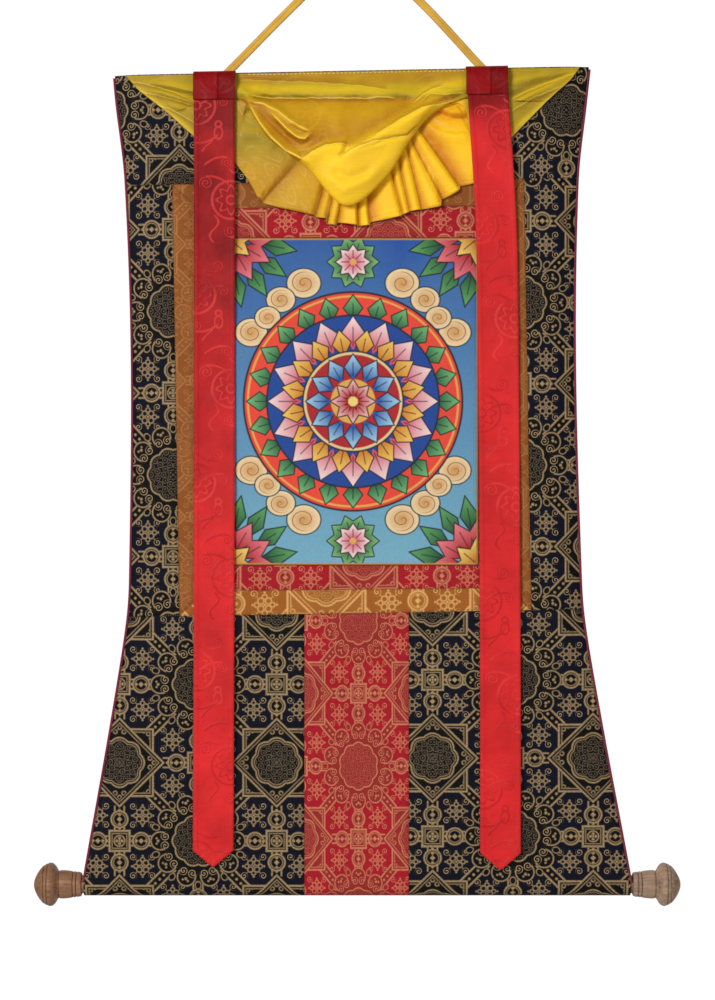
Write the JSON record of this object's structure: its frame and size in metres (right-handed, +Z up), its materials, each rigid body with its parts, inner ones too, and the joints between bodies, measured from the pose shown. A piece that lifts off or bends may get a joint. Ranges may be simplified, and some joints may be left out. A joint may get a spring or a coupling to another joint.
{
  "type": "thangka scroll painting",
  "caption": "Hanging scroll painting in a brocade mount with a tucked-up silk veil, hanging ribbons, a carrying cord and a rod with turned knobs in the bottom hem.",
  "frame": {"origin": "the place under the top of the cord where a hook holds the scroll", "axes": "+Z up, +Y towards the wall behind the scroll, +X to the viewer's right; the painted front faces -Y"},
  "size_m": [0.7141, 0.0648, 1.057],
  "materials": {
    "navy_brocade": "woven brocade, dark navy with dull gold",
    "red_brocade": "woven brocade, crimson with dull gold",
    "gold_brocade": "woven brocade, gold brown",
    "painted_canvas": "painted cotton canvas",
    "piping": "maroon piping",
    "yellow_silk": "yellow silk damask",
    "red_silk": "red silk damask",
    "yellow_tape": "yellow tape",
    "turned_wood": "turned wood, satin"
  },
  "bodies": {
    "root": {"panel_top": "navy_brocade", "panel_side_left": "navy_brocade", "panel_side_right": "navy_brocade", "panel_lower_left": "navy_brocade", "panel_door": "red_brocade", "panel_lower_right": "navy_brocade", "piping_left": "piping", "piping_right": "piping", "border_gold_bottom": "gold_brocade", "border_gold_right": "gold_brocade", "border_gold_top": "gold_brocade", "border_gold_left": "gold_brocade", "border_red_bottom": "red_brocade", "border_red_right": "red_brocade", "border_red_top": "red_brocade", "border_red_left": "red_brocade", "canvas": "painted_canvas", "veil": "yellow_silk", "ribbon_left": "red_silk", "ribbon_right": "red_silk", "tab_left": "red_silk", "tab_right": "red_silk", "cord": "yellow_tape", "rod": "turned_wood", "knob_left": "turned_wood", "knob_right": "turned_wood"}
  },
  "joints": []
}
